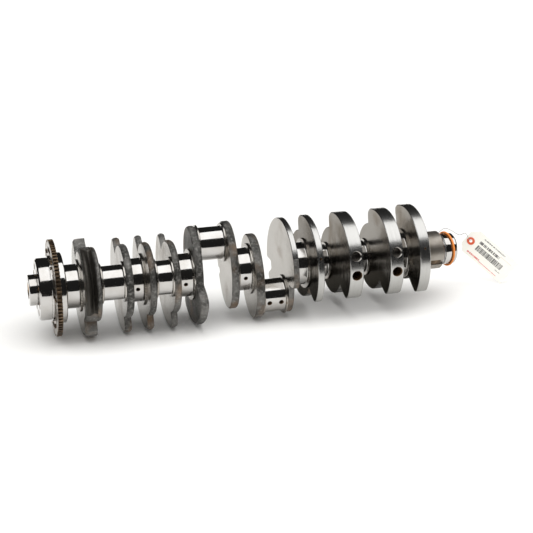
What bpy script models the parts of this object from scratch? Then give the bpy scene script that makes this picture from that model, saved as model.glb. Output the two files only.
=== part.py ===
"""Crankshaft of a six-throw vee engine, with a toothed timing ring and a wired-on parts tag.

The shaft lies along X with its rear (flywheel) end at -X and its nose at +X, and rests on the
rims of its webs at Z = 0.  Angles round the shaft are crank angles: 0 is the direction of the
first two crankpins, and they grow from the -Y side towards +Z.  Lengths and stations are in
millimetres, and each mesh is scaled by MM to metres as it becomes an object.
"""
import math

import bmesh
import bpy
from mathutils import Matrix, Vector

MM = 0.001

# Driving dimensions, in millimetres
MAIN_R = 33.5            # main journal radius
PIN_R = 26.0             # crankpin radius
THROW = 45.0             # crankpin offset from the shaft's axis: a 90 mm stroke
BOSS = 2.4               # height of the machined shoulder at each end of a journal
MAIN_BOSS_R = 40.0
PIN_BOSS_R = 30.5
WEIGHT_R = 78.75         # outer radius of the counterweights
AXIS_HEIGHT = 78.75      # the shaft rests on its counterweights
ROLL = 20.0              # crank angle 0 stands this far above the -Y direction
GAP = 0.3                # between touching pieces
SEAT_DEEP = 1.0          # recess in a seat face, where the piece inside it starts
OIL_R = 2.6              # oil hole radius

# Stations along the shaft, from its middle towards the nose
REAR_END = -344.3
HUB_REAR = -331.7
RING_SEAT = -309.7
RING_FRONT = -301.9
COLLAR_FRONT = -292.4
NOSE_HUB_FRONT = 319.0
SHAFT_FRONT = 344.3

SEAL_R = 47.25           # rear hub, ground for the oil seal
SPIGOT_R = 23.6          # pilot spigot behind it
RING_R = 73.5            # timing ring, over its teeth
RING_TEETH = 79
COLLAR_R = 53.5
NOSE_HUB_R = 30.7
SNOUT_R = 25.2

# name, rear flank, front flank, pin direction or None, lobe, weight or None.
# A lobe is (offset towards the pin, half length, half width) of an ellipse.
# A weight is (radius, first angle, last angle, spread of its sides at the root).
WIDE = (19.0, 56.5, 56.5)
HUB_ONLY = (0.0, 42.0, 42.0)
REAR_WEIGHT = (WEIGHT_R, 116.0, 280.0, 9.0)
FRONT_WEIGHT = (76.5, -54.0, 94.0, 13.0)
WEBS = [
    ("web_01", -268.7, -243.5, 0.0, WIDE, (WEIGHT_R, 110.0, 292.0, 7.0)),
    ("web_02", -207.3, -196.2, 0.0, WIDE, REAR_WEIGHT),
    ("web_03", -172.0, -161.8, 0.0, WIDE, REAR_WEIGHT),
    ("web_04", -134.9, -124.7, 0.0, WIDE, REAR_WEIGHT),
    ("web_05", -95.5, -83.2, 90.0, (13.0, 62.0, 43.0), (WEIGHT_R, 214.0, 322.0, 12.0)),
    ("web_06", -40.2, -28.0, 90.0, (9.0, 69.0, 46.0), None),
    ("web_07", -2.8, 10.7, -90.0, (12.0, 66.8, 46.5), None),
    ("web_08", 49.8, 58.6, -90.0, (12.0, 62.0, 42.0), (75.6, -30.0, 208.0, 12.0)),
    ("web_09", 88.7, 98.9, 180.0, (19.0, 53.5, 53.5), FRONT_WEIGHT),
    ("web_10", 140.6, 162.6, 180.0, (19.0, 53.5, 53.5), FRONT_WEIGHT),
    ("web_11", 207.4, 229.5, 180.0, (19.0, 53.5, 53.5), FRONT_WEIGHT),
    ("web_12", 256.3, 273.6, None, HUB_ONLY, (WEIGHT_R, -57.0, 98.0, 7.0)),
]
# name, pin direction or None for a main journal, web behind, web in front
JOURNALS = [
    ("main_journal_1", None, None, "web_01"),
    ("crankpin_1", 0.0, "web_01", "web_02"),
    ("main_journal_2", None, "web_02", "web_03"),
    ("crankpin_2", 0.0, "web_03", "web_04"),
    ("main_journal_3", None, "web_04", "web_05"),
    ("crankpin_3", 90.0, "web_05", "web_06"),
    ("main_journal_4", None, "web_06", "web_07"),
    ("crankpin_4", -90.0, "web_07", "web_08"),
    ("main_journal_5", None, "web_08", "web_09"),
    ("crankpin_5", 180.0, "web_09", "web_10"),
    ("crankpin_6", 180.0, "web_10", "web_11"),
    ("main_journal_6", None, "web_11", "web_12"),
]

# Parts tag
TAG_LONG = 95.0
TAG_WIDE = 48.0
TAG_THICK = 0.8
TAG_HOLE_FROM_END = 10.0
TAG_CLIP = 11.0                         # clipped corners at the eyelet end
EYELET = Vector((400.6, 45.8, -8.3))    # hole centre, from the shaft's axis at mid length
TAG_TURN = 35.4                         # the card's heading, about the vertical
TAG_DROOP = 36.5                        # its long edge, below the horizontal
WIRE_R = 0.45
BAND_R = 1.6
SNOUT_GROOVE_X = 322.6


def clear_scene():
    for ob in list(bpy.data.objects):
        bpy.data.objects.remove(ob, do_unlink=True)


def make_material(name, colour, roughness, metallic):
    mat = bpy.data.materials.new(name)
    mat.use_nodes = True
    shader = mat.node_tree.nodes["Principled BSDF"]
    shader.inputs["Base Color"].default_value = (*colour, 1.0)
    shader.inputs["Roughness"].default_value = roughness
    shader.inputs["Metallic"].default_value = metallic
    return mat


def around(radius, angle):
    """Y and Z of a point at a crank angle, from the shaft's axis."""
    turn = math.radians(angle + ROLL)
    return -radius * math.cos(turn), radius * math.sin(turn)


def add_node(name, bm, mat, shaft):
    """A mesh object on the shaft's frame, smooth apart from its sharp edges."""
    bmesh.ops.remove_doubles(bm, verts=bm.verts, dist=1e-4)
    bmesh.ops.recalc_face_normals(bm, faces=bm.faces)
    bmesh.ops.scale(bm, vec=(MM, MM, MM), verts=bm.verts)
    mesh = bpy.data.meshes.new(name)
    bm.to_mesh(mesh)
    bm.free()
    mesh.materials.append(mat)
    mesh.shade_smooth()
    mesh.set_sharp_from_angle(angle=math.radians(35))
    ob = bpy.data.objects.new(name, mesh)
    bpy.context.collection.objects.link(ob)
    ob.parent = shaft
    return ob


def turned(profile, steps, centre=(0.0, 0.0), closed=False):
    """Turn (station, radius) points about a line along X through centre, in Y and Z."""
    bm = bmesh.new()
    verts = [bm.verts.new((x, centre[0], centre[1] + r)) for x, r in profile]
    edges = [bm.edges.new(pair) for pair in zip(verts, verts[1:])]
    if closed:
        edges.append(bm.edges.new((verts[-1], verts[0])))
    bmesh.ops.spin(bm, geom=verts + edges, cent=(0.0, *centre), axis=(1.0, 0.0, 0.0),
                   angle=math.tau, steps=steps, use_merge=True)
    if not closed:
        bmesh.ops.holes_fill(bm, edges=[e for e in bm.edges if e.is_boundary], sides=0)
    return bm


def plate(outline, rear, front):
    """A flat plate across the shaft from an outline of (Y, Z) points."""
    bm = bmesh.new()
    face = bm.faces.new([bm.verts.new((rear, y, z)) for y, z in outline])
    grown = bmesh.ops.extrude_face_region(bm, geom=[face])
    moved = [v for v in grown["geom"] if isinstance(v, bmesh.types.BMVert)]
    bmesh.ops.translate(bm, vec=(front - rear, 0.0, 0.0), verts=moved)
    return bm


def cylinder_between(start, end, radius, steps):
    bm = bmesh.new()
    along = end - start
    bmesh.ops.create_cone(bm, cap_ends=True, segments=steps, radius1=radius, radius2=radius,
                          depth=along.length)
    turn = along.to_track_quat("Z", "Y").to_matrix().to_4x4()
    bmesh.ops.transform(bm, verts=bm.verts, matrix=Matrix.Translation((start + end) / 2) @ turn)
    return bm


def cut(ob, name, bm, shaft):
    """Take a cutter's shape out of a node."""
    cutter = add_node(name, bm, ob.data.materials[0], shaft)
    cutter.hide_render = True
    cutter.display_type = "WIRE"
    saw = ob.modifiers.new(name, "BOOLEAN")
    saw.operation = "DIFFERENCE"
    saw.solver = "EXACT"
    saw.object = cutter


def ellipse_radius(angle, offset, half_long, half_wide):
    """Distance from the axis to a web's lobe, at an angle from the pin direction."""
    c, s = math.cos(math.radians(angle)), math.sin(math.radians(angle))
    a = (c / half_long) ** 2 + (s / half_wide) ** 2
    b = -2.0 * offset * c / half_long ** 2
    k = (offset / half_long) ** 2 - 1.0
    return (-b + math.sqrt(b * b - 4.0 * a * k)) / (2.0 * a)


def weight_radius(angle, radius, first, last, spread):
    """A counterweight's rim, with straight sides that widen towards the axis."""
    past = max(first - angle, angle - last)
    if past <= 0.0:
        return radius
    if past >= spread:
        return 0.0
    return radius - (radius - MAIN_BOSS_R) * past / spread


def web_outline(pin, lobe, weight):
    angles = [float(a) for a in range(-180, 180, 5)]
    if weight:
        first, last, spread = weight[1:]
        angles += [a - 360.0 if a >= 180.0 else a
                   for a in (first - spread, first, last, last + spread)]
    points = []
    for angle in sorted(set(angles)):
        radius = ellipse_radius(angle - (pin or 0.0), *lobe)
        if weight:
            radius = max(radius, weight_radius(angle, *weight),
                         weight_radius(angle + 360.0, *weight))
        points.append(around(radius, angle))
    return points


def journal_profile(rear, front, radius, boss_r):
    """A ground journal with a raised shoulder at each end."""
    return [(rear, boss_r), (rear + BOSS, boss_r), (rear + BOSS, radius),
            (front - BOSS, radius), (front - BOSS, boss_r), (front, boss_r)]


def side_hole(ob, name, x, angle, centre, surface_r, depth, radius, shaft):
    """A hole drilled square to the shaft's axis, from a point on a round surface."""
    out = Vector((0.0, *around(1.0, angle)))
    middle = Vector((x, *centre))
    cut(ob, name, cylinder_between(middle + out * (surface_r - depth),
                                   middle + out * (surface_r + 5.0), radius, 16), shaft)


def make_journals(shaft, ground):
    flanks = {name: (rear, front) for name, rear, front, *_ in WEBS}
    for name, pin, behind, ahead in JOURNALS:
        rear = (flanks[behind][1] if behind else COLLAR_FRONT - SEAT_DEEP) + GAP
        front = flanks[ahead][0] - GAP
        main = pin is None
        centre = (0.0, 0.0) if main else around(THROW, pin)
        radius, boss_r = (MAIN_R, MAIN_BOSS_R) if main else (PIN_R, PIN_BOSS_R)
        bm = turned(journal_profile(rear, front, radius, boss_r), 30, centre)
        ob = add_node(name, bm, ground, shaft)
        middle = (rear + front) / 2
        if name in ("main_journal_2", "main_journal_3", "main_journal_4"):
            side_hole(ob, name + "_oil", middle, -26.0, centre, radius, 14.0, OIL_R, shaft)
        if name == "crankpin_4":
            for side in (-9.5, 9.5):
                side_hole(ob, f"{name}_oil_{side:+.0f}", middle + side, -28.0, centre, radius,
                          12.0, OIL_R + 0.8, shaft)


def make_webs(shaft, forged, machined):
    for name, rear, front, pin, lobe, weight in WEBS:
        metal = forged if rear < 40.0 else machined
        bm = plate(web_outline(pin, lobe, weight), rear, front)
        ob = add_node(name, bm, metal, shaft)
        middle = (rear + front) / 2
        if name in ("web_10", "web_11"):
            for angle in (2.0, -21.0):
                side_hole(ob, f"{name}_balance_{angle:+.0f}", middle, angle, (0.0, 0.0),
                          weight[0], 24.0, 7.4, shaft)


def make_rear_end(shaft, ground, forged, bronze, steel):
    """Pilot spigot and bush, seal hub, timing ring with its screws, and thrust collar."""
    chamfer = 1.5
    spigot_front = HUB_REAR + SEAT_DEEP - GAP
    spigot = [(REAR_END, 12.3), (REAR_END, SPIGOT_R - chamfer), (REAR_END + chamfer, SPIGOT_R),
              (spigot_front, SPIGOT_R), (spigot_front, 12.3)]
    add_node("pilot_spigot", turned(spigot, 36, closed=True), ground, shaft)
    bush = [(REAR_END + 0.6, 8.5), (REAR_END + 0.6, 12.0), (HUB_REAR - 1.0, 12.0),
            (HUB_REAR - 1.0, 8.5)]
    add_node("pilot_bush", turned(bush, 28, closed=True), bronze, shaft)

    seat_r = 40.0
    hub = [(HUB_REAR + SEAT_DEEP, SPIGOT_R + GAP), (HUB_REAR, SPIGOT_R + GAP),
           (HUB_REAR, SEAL_R - 2.0), (HUB_REAR + 2.0, SEAL_R), (RING_SEAT - 4.0, SEAL_R),
           (RING_SEAT - 4.0, SEAL_R + 2.5), (RING_SEAT - GAP, SEAL_R + 2.5),
           (RING_SEAT - GAP, seat_r), (RING_FRONT, seat_r)]
    add_node("seal_hub", turned(hub, 40), ground, shaft)

    root_r = RING_R - 3.4
    outline = []
    for i in range(RING_TEETH):
        for share, radius in ((-0.30, root_r), (-0.20, RING_R), (0.20, RING_R), (0.30, root_r)):
            outline.append(around(radius, 360.0 * (i + share) / RING_TEETH))
    ring = add_node("timing_ring", plate(outline, RING_SEAT, RING_FRONT - GAP), steel,
                    shaft)
    cut(ring, "ring_bore", cylinder_between(Vector((RING_SEAT - 5.0, 0.0, 0.0)),
                                            Vector((RING_FRONT + 5.0, 0.0, 0.0)),
                                            seat_r + GAP, 44), shaft)
    windows = 6
    for i in range(windows):
        middle = 360.0 * i / windows + 12.0
        arc = [around(63.0, middle + a) for a in (-15, -9, -3, 3, 9, 15)]
        arc += [around(55.0, middle + a) for a in (15, 5, -5, -15)]
        cut(ring, f"ring_window_{i + 1}", plate(arc, RING_SEAT - 5.0, RING_FRONT + 5.0),
            shaft)
    for i in range(windows):
        y, z = around(58.0, 360.0 * i / windows + 42.0)
        head = [(RING_SEAT - 2.2, 2.6), (RING_SEAT - 1.6, 3.6), (RING_SEAT - GAP, 3.6)]
        bm = turned(head, 12)
        bmesh.ops.translate(bm, vec=(0.0, y, z), verts=bm.verts)
        add_node(f"ring_screw_{i + 1}", bm, steel, shaft)

    collar = [(RING_FRONT + GAP, COLLAR_R), (COLLAR_FRONT - 1.2, COLLAR_R),
              (COLLAR_FRONT, COLLAR_R - 1.2), (COLLAR_FRONT, MAIN_BOSS_R + GAP),
              (COLLAR_FRONT - SEAT_DEEP, MAIN_BOSS_R + GAP)]
    add_node("thrust_collar", turned(collar, 44), ground, shaft)


def make_nose(shaft, forged, ground, steel, rubber):
    """Front hub with its key, the polished snout, and the elastic band on it."""
    hub_rear = WEBS[-1][2] + GAP
    hub = [(hub_rear, NOSE_HUB_R), (NOSE_HUB_FRONT - 1.8, NOSE_HUB_R),
           (NOSE_HUB_FRONT, NOSE_HUB_R - 1.8), (NOSE_HUB_FRONT, SNOUT_R + GAP),
           (NOSE_HUB_FRONT - SEAT_DEEP, SNOUT_R + GAP)]
    nose_hub = add_node("nose_hub", turned(hub, 36), forged, shaft)
    key_long, key_wide, key_deep, key_angle = 34.0, 10.0, 4.4, -43.0
    key_rear = NOSE_HUB_FRONT - key_long

    def key_block(rear, front, wide, low, high):
        bm = bmesh.new()
        bmesh.ops.create_cube(bm, size=1.0)
        bmesh.ops.scale(bm, vec=(front - rear, high - low, wide), verts=bm.verts)
        bmesh.ops.translate(bm, vec=((front + rear) / 2, -(high + low) / 2, 0.0),
                            verts=bm.verts)
        turn = Matrix.Rotation(math.radians(-(key_angle + ROLL)), 3, "X")
        bmesh.ops.rotate(bm, matrix=turn, verts=bm.verts)
        return bm

    cut(nose_hub, "keyway", key_block(key_rear, NOSE_HUB_FRONT + 5.0, key_wide,
                                      NOSE_HUB_R - key_deep, NOSE_HUB_R + 5.0), shaft)
    add_node("nose_key", key_block(key_rear + GAP, NOSE_HUB_FRONT - 6.0, key_wide - 2 * GAP,
                                   NOSE_HUB_R - key_deep + GAP, NOSE_HUB_R - 1.2), steel, shaft)

    groove = 1.6
    snout = [(NOSE_HUB_FRONT - SEAT_DEEP + GAP, SNOUT_R), (SNOUT_GROOVE_X - 1.6, SNOUT_R),
             (SNOUT_GROOVE_X - 0.9, SNOUT_R - groove), (SNOUT_GROOVE_X + 0.9, SNOUT_R - groove),
             (SNOUT_GROOVE_X + 1.6, SNOUT_R), (SHAFT_FRONT - 2.2, SNOUT_R),
             (SHAFT_FRONT, SNOUT_R - 2.2)]
    front_snout = add_node("nose_snout", turned(snout, 40), ground, shaft)
    cut(front_snout, "nose_bolt_hole",
        cylinder_between(Vector((SHAFT_FRONT - 20.0, 0.0, 0.0)),
                         Vector((SHAFT_FRONT + 5.0, 0.0, 0.0)), 8.0, 20), shaft)

    make_band("snout_band", SNOUT_R + BAND_R + GAP, BAND_R, rubber, shaft)


def band_station(angle):
    """The band sits askew: it leans back at the top and forward at the front."""
    return 333.0 + 3.6 * math.cos(math.radians(angle + 18.0))


def ring_path(radius, station, steps):
    return [(station(360.0 * i / steps), *around(radius, 360.0 * i / steps))
            for i in range(steps)]


def tube(name, points, radius, sides, cyclic, mat, shaft):
    """A tube along a smooth run of points in millimetres from the shaft's frame."""
    curve = bpy.data.curves.new(name, "CURVE")
    curve.dimensions = "3D"
    curve.bevel_depth = radius * MM
    curve.bevel_resolution = sides
    curve.use_fill_caps = not cyclic
    spline = curve.splines.new("POLY")
    spline.points.add(len(points) - 1)
    for point, place in zip(spline.points, points):
        point.co = (*(Vector(place) * MM), 1.0)
    spline.use_cyclic_u = cyclic
    curve.materials.append(mat)
    ob = bpy.data.objects.new(name, curve)
    bpy.context.collection.objects.link(ob)
    ob.parent = shaft
    return ob


def make_band(name, radius, thickness, mat, shaft):
    tube(name, ring_path(radius, band_station, 32), thickness, 2, True, mat, shaft)


def smooth_route(knots, per_span):
    """A Catmull-Rom curve through a few hand-placed points."""
    knots = [Vector(k) for k in knots]
    padded = [2 * knots[0] - knots[1], *knots, 2 * knots[-1] - knots[-2]]
    points = []
    for a, b, c, d in zip(padded, padded[1:], padded[2:], padded[3:]):
        for step in range(per_span):
            t = step / per_span
            points.append(0.5 * (2 * b + (c - a) * t + (2 * a - 5 * b + 4 * c - d) * t ** 2
                                 + (3 * b - a - 3 * c + d) * t ** 3))
    return points + [knots[-1]]


def tag_axes():
    """Long edge, short edge and face normal of the card, which hangs in an upright plane."""
    turn, droop = math.radians(TAG_TURN), math.radians(TAG_DROOP)
    level = Vector((math.cos(turn), -math.sin(turn), 0.0))
    up = Vector((0.0, 0.0, 1.0))
    long_edge = level * math.cos(droop) - up * math.sin(droop)
    short_edge = level * math.sin(droop) + up * math.cos(droop)
    return long_edge, short_edge, long_edge.cross(short_edge)


def make_tag(shaft, card_mat, eyelet_mat, wire_mat):
    """Tie wire round the snout, the card that hangs from it, and the card's eyelet."""
    loop_r = SNOUT_R - 1.6 + WIRE_R + GAP
    tube("tie_loop", ring_path(loop_r, lambda angle: SNOUT_GROOVE_X, 32), WIRE_R, 2, True,
         wire_mat, shaft)

    long_edge, short_edge, normal = tag_axes()
    frame = Matrix((long_edge, short_edge, normal)).transposed().to_4x4()
    place = Matrix.Translation(EYELET) @ frame
    pivot = bpy.data.objects.new("tag_pivot", None)
    bpy.context.collection.objects.link(pivot)
    pivot.parent = shaft
    pivot.matrix_local = Matrix.Translation(EYELET * MM) @ frame

    half, near, far = TAG_WIDE / 2, -TAG_HOLE_FROM_END, TAG_LONG - TAG_HOLE_FROM_END
    outline = [(near, -half + TAG_CLIP), (near + TAG_CLIP, -half), (far, -half), (far, half),
               (near + TAG_CLIP, half), (near, half - TAG_CLIP)]
    bm = bmesh.new()
    face = bm.faces.new([bm.verts.new((x, y, -TAG_THICK / 2)) for x, y in outline])
    grown = bmesh.ops.extrude_face_region(bm, geom=[face])
    moved = [v for v in grown["geom"] if isinstance(v, bmesh.types.BMVert)]
    bmesh.ops.translate(bm, vec=(0.0, 0.0, TAG_THICK), verts=moved)
    card = add_node("tag_card", bm, card_mat, pivot)
    hole = bmesh.new()
    bmesh.ops.create_cone(hole, cap_ends=True, segments=20, radius1=2.5, radius2=2.5, depth=8.0)
    cut(card, "tag_hole", hole, pivot)

    face_z = TAG_THICK / 2 + GAP
    bm = bmesh.new()
    ring = [(2.9, face_z), (6.8, face_z), (6.8, face_z + 0.7), (2.9, face_z + 0.7)]
    verts = [bm.verts.new((r, 0.0, z)) for r, z in ring]
    edges = [bm.edges.new(pair) for pair in zip(verts, verts[1:] + verts[:1])]
    bmesh.ops.spin(bm, geom=verts + edges, cent=(0, 0, 0), axis=(0, 0, 1), angle=math.tau,
                   steps=28, use_merge=True)
    add_node("tag_eyelet", bm, eyelet_mat, pivot)

    # the wire leaves the loop behind the snout, humps over and drops through the eyelet
    knots = [(SNOUT_GROOVE_X, 8.0, loop_r + 2 * WIRE_R), (SNOUT_GROOVE_X + 7.0, 13.0, 27.5),
             (SNOUT_GROOVE_X + 18.0, 20.0, 28.0), (SNOUT_GROOVE_X + 33.0, 27.0, 20.0),
             (SNOUT_GROOVE_X + 50.0, 34.0, 9.0)]
    knots += [tuple(place @ Vector(k)) for k in ((-16.0, 6.0, 5.0), (-7.0, 2.2, 3.0),
                                                 (-2.0, 0.4, 1.9), (-0.2, 0.0, -1.2))]
    tube("tag_wire", smooth_route(knots, 5), WIRE_R, 2, False, wire_mat, shaft)


def build():
    clear_scene()
    ground = make_material("ground_steel", (0.62, 0.62, 0.62), 0.12, 1.0)
    forged = make_material("forged_steel", (0.16, 0.15, 0.13), 0.55, 0.8)
    machined = make_material("machined_steel", (0.52, 0.50, 0.47), 0.32, 1.0)
    dark = make_material("blackened_steel", (0.10, 0.08, 0.06), 0.4, 0.9)
    bronze = make_material("bronze", (0.55, 0.36, 0.16), 0.35, 1.0)
    rubber = make_material("orange_rubber", (0.85, 0.35, 0.08), 0.5, 0.0)
    card = make_material("tag_card", (0.88, 0.87, 0.80), 0.7, 0.0)
    patch = make_material("tag_eyelet", (0.80, 0.20, 0.10), 0.6, 0.0)
    wire = make_material("tie_wire", (0.45, 0.45, 0.45), 0.35, 1.0)

    shaft = bpy.data.objects.new("shaft_axis", None)
    bpy.context.collection.objects.link(shaft)
    shaft.location = (0.0, 0.0, AXIS_HEIGHT * MM)

    make_rear_end(shaft, ground, forged, bronze, dark)
    make_journals(shaft, ground)
    make_webs(shaft, forged, machined)
    make_nose(shaft, forged, ground, dark, rubber)
    make_tag(shaft, card, patch, wire)


build()
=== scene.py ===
import math

import bmesh
import bpy
from mathutils import Matrix, Vector, noise


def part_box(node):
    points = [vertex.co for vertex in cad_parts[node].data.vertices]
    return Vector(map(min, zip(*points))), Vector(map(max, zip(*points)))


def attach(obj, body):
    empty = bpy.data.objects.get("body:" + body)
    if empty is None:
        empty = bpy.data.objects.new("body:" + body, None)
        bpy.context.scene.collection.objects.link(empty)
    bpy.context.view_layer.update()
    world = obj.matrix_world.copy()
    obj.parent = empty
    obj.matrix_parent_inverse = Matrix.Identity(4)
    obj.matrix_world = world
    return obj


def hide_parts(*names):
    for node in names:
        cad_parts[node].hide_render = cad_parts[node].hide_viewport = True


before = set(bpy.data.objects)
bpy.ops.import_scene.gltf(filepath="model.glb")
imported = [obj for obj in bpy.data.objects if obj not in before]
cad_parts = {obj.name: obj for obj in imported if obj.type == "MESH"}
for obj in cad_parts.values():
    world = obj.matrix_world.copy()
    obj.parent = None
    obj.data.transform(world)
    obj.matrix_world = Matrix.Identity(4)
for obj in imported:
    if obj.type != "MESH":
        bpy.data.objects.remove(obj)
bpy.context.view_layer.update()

# ---- Camera, lamp and floor ------------------------------------------------------------------
# The crankshaft lies on a white table under one long softbox that reaches from in front of it to
# just behind.  The room round the table is dark, so the ground journals show dark and white bands.
MM = 0.001
VIEW_TARGET = Vector((0.0274, 0.0, 0.0788))
VIEW_TURN = math.radians(-16.3)
VIEW_RISE = math.radians(20.1)
VIEW_DISTANCE = 1.969
FOCAL_LENGTH = 84.4
toward_camera = Vector((math.sin(VIEW_TURN) * math.cos(VIEW_RISE),
                        -math.cos(VIEW_TURN) * math.cos(VIEW_RISE), math.sin(VIEW_RISE)))
lens = bpy.data.cameras.new("camera")
lens.lens = FOCAL_LENGTH
camera = bpy.data.objects.new("camera", lens)
bpy.context.collection.objects.link(camera)
camera.location = VIEW_TARGET + toward_camera * VIEW_DISTANCE
camera.rotation_euler = (-toward_camera).to_track_quat("-Z", "Y").to_euler()
bpy.context.scene.camera = camera
bpy.context.scene.view_settings.view_transform = "Standard"


class Value:
    """A number in a node tree.  Arithmetic on it adds the tree's Math nodes."""

    def __init__(self, tree, socket):
        self.tree = tree
        self.socket = socket

    def math(self, operation, *terms):
        node = self.tree.nodes.new("ShaderNodeMath")
        node.operation = operation
        for slot, term in zip(node.inputs, terms):
            if isinstance(term, Value):
                self.tree.links.new(term.socket, slot)
            else:
                slot.default_value = term
        return Value(self.tree, node.outputs[0])

    def __add__(self, other):
        return self.math("ADD", self, other)

    def __mul__(self, other):
        return self.math("MULTIPLY", self, other)

    def __gt__(self, other):
        return self.math("GREATER_THAN", self, other)

    def __lt__(self, other):
        return self.math("LESS_THAN", self, other)

    __radd__ = __add__
    __rmul__ = __mul__


class Surface:
    """The pattern on one finish, lamp or wall: a node tree and ways to add to it."""

    def __init__(self, tree):
        self.tree = tree

    def node(self, kind, settings, inputs, output=0):
        """Any node other than a Math node, with its settings first and then its sockets."""
        made = self.tree.nodes.new(kind)
        for name, given in settings.items():
            setattr(made, name, given)
        for name, given in inputs.items():
            if isinstance(given, Value):
                self.tree.links.new(given.socket, made.inputs[name])
            else:
                made.inputs[name].default_value = given
        return Value(self.tree, made.outputs[output])

    def feed(self, shader, name, given):
        self.tree.links.new(given.socket, shader.inputs[name])

    def place(self, stretch=(1.0, 1.0, 1.0), shift=(0.0, 0.0, 0.0)):
        """Where a point is on the piece, in metres, stretched and then shifted."""
        own = self.node("ShaderNodeTexCoord", {}, {}, "Object")
        return self.node("ShaderNodeMapping", {}, {"Vector": own, "Scale": stretch,
                                                   "Location": shift})

    def grain(self, where, scale, detail=2.0, rough=0.5):
        return self.node("ShaderNodeTexNoise", {}, {"Vector": where, "Scale": scale,
                                                    "Detail": detail, "Roughness": rough})

    def spread(self, given, low, high, to_low=0.0, to_high=1.0):
        """Take a value between low and high to another range, and hold it there."""
        return self.node("ShaderNodeMapRange", {"interpolation_type": "SMOOTHSTEP"},
                         {"Value": given, "From Min": low, "From Max": high,
                          "To Min": to_low, "To Max": to_high})

    def tint(self, share, first, second):
        """A colour part of the way from the first to the second."""
        ends = [end if isinstance(end, Value) else (*end, 1.0) for end in (first, second)]
        return self.node("ShaderNodeMix", {"data_type": "RGBA"},
                         {0: share, 6: ends[0], 7: ends[1]}, 2)

    def bump(self, height, depth, strength=1.0):
        return self.node("ShaderNodeBump", {}, {"Height": height, "Distance": depth,
                                                "Strength": strength})


world = bpy.data.worlds.new("studio")
world.use_nodes = True
bpy.context.scene.world = world
room = Surface(world.node_tree)
ray_is_seen = room.node("ShaderNodeLightPath", {}, {}, "Is Camera Ray")
ray_is_diffuse = room.node("ShaderNodeLightPath", {}, {}, "Is Diffuse Ray")
REFLECTED_GLOW = 0.02
ROOM_FILL = 0.68
room_glow = REFLECTED_GLOW + ray_is_seen + ray_is_diffuse * ROOM_FILL
backdrop = world.node_tree.nodes["Background"]
backdrop.inputs["Color"].default_value = (1.0, 0.995, 0.985, 1.0)
room.feed(backdrop, "Strength", room_glow)

SOFTBOX_HEIGHT = 1.28
SOFTBOX_FRONT = -1.02
SOFTBOX_BACK = 0.30
lamp = bpy.data.lights.new("softbox", "AREA")
lamp.shape = "RECTANGLE"
lamp.size = 3.8
lamp.size_y = SOFTBOX_BACK - SOFTBOX_FRONT
lamp.energy = 30.0
softbox = bpy.data.objects.new("softbox", lamp)
bpy.context.collection.objects.link(softbox)
softbox.location = (0.35, (SOFTBOX_BACK + SOFTBOX_FRONT) / 2, SOFTBOX_HEIGHT)

TABLE_FRONT = -0.66
TABLE_BACK = 5.6
TABLE_HALF_LONG = 4.0
TABLE_DROP = 0.2 * MM
SWEEP_START = 0.25
SWEEP_END = 1.4
table_bm = bmesh.new()
bmesh.ops.create_grid(table_bm, x_segments=1, y_segments=1, size=1.0)
bmesh.ops.scale(table_bm, vec=(TABLE_HALF_LONG, (TABLE_BACK - TABLE_FRONT) / 2, 1.0),
                verts=table_bm.verts)
bmesh.ops.translate(table_bm, vec=(0.0, (TABLE_BACK + TABLE_FRONT) / 2, -TABLE_DROP),
                    verts=table_bm.verts)
table_mesh = bpy.data.meshes.new("table_top")
table_bm.to_mesh(table_mesh)
table_bm.free()
# the paint glows towards the back, as a lit white sweep does, so that no horizon shows
table_paint = bpy.data.materials.new("table_paint")
table_paint.use_nodes = True
paint_shader = table_paint.node_tree.nodes["Principled BSDF"]
sweep = Surface(table_paint.node_tree)
depth_back = sweep.node("ShaderNodeSeparateXYZ", {}, {"Vector": sweep.place()}, "Y")
glow = sweep.spread(depth_back, SWEEP_START, SWEEP_END)
paint_shader.inputs["Emission Strength"].default_value = 0.55
sweep.feed(paint_shader, "Emission Color", sweep.tint(glow, (0.0, 0.0, 0.0), (1.0, 1.0, 1.0)))
paint_shader.inputs["Base Color"].default_value = (0.90, 0.895, 0.88, 1.0)
paint_shader.inputs["Roughness"].default_value = 0.7
paint_shader.inputs["Specular IOR Level"].default_value = 0.15
table_mesh.materials.append(table_paint)
table_top = bpy.data.objects.new("table_top", table_mesh)
bpy.context.collection.objects.link(table_top)


# ---- Tag wire --------------------------------------------------------------------------------
# A thin galvanised wire.  It is twisted off from the loop round the snout,
# humps over and hangs down into the eyelet of the tag, where its end is bent through the hole.
WIRE_R = 0.45 * MM
AXIS_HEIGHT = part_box("seal_hub")[0][2] * 0.5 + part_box("seal_hub")[1][2] * 0.5
SNOUT_GROOVE_X = 322.6 * MM
LOOP_R = 24.35 * MM
TAG_TURN = math.radians(35.4)
TAG_DROOP = math.radians(36.5)
EYELET = Vector((400.6, 45.8, -8.3)) * MM + Vector((0.0, 0.0, AXIS_HEIGHT))
tag_level = Vector((math.cos(TAG_TURN), -math.sin(TAG_TURN), 0.0))
tag_long = tag_level * math.cos(TAG_DROOP) - Vector((0.0, 0.0, math.sin(TAG_DROOP)))
tag_short = tag_level * math.sin(TAG_DROOP) + Vector((0.0, 0.0, math.cos(TAG_DROOP)))
tag_frame = (Matrix.Translation(EYELET)
             @ Matrix((tag_long, tag_short, tag_long.cross(tag_short))).transposed().to_4x4())


def from_axis(x, y, z):
    """A place in millimetres from the shaft's axis at mid length, as a point in metres."""
    return Vector((x * MM, y * MM, z * MM + AXIS_HEIGHT))


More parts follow.
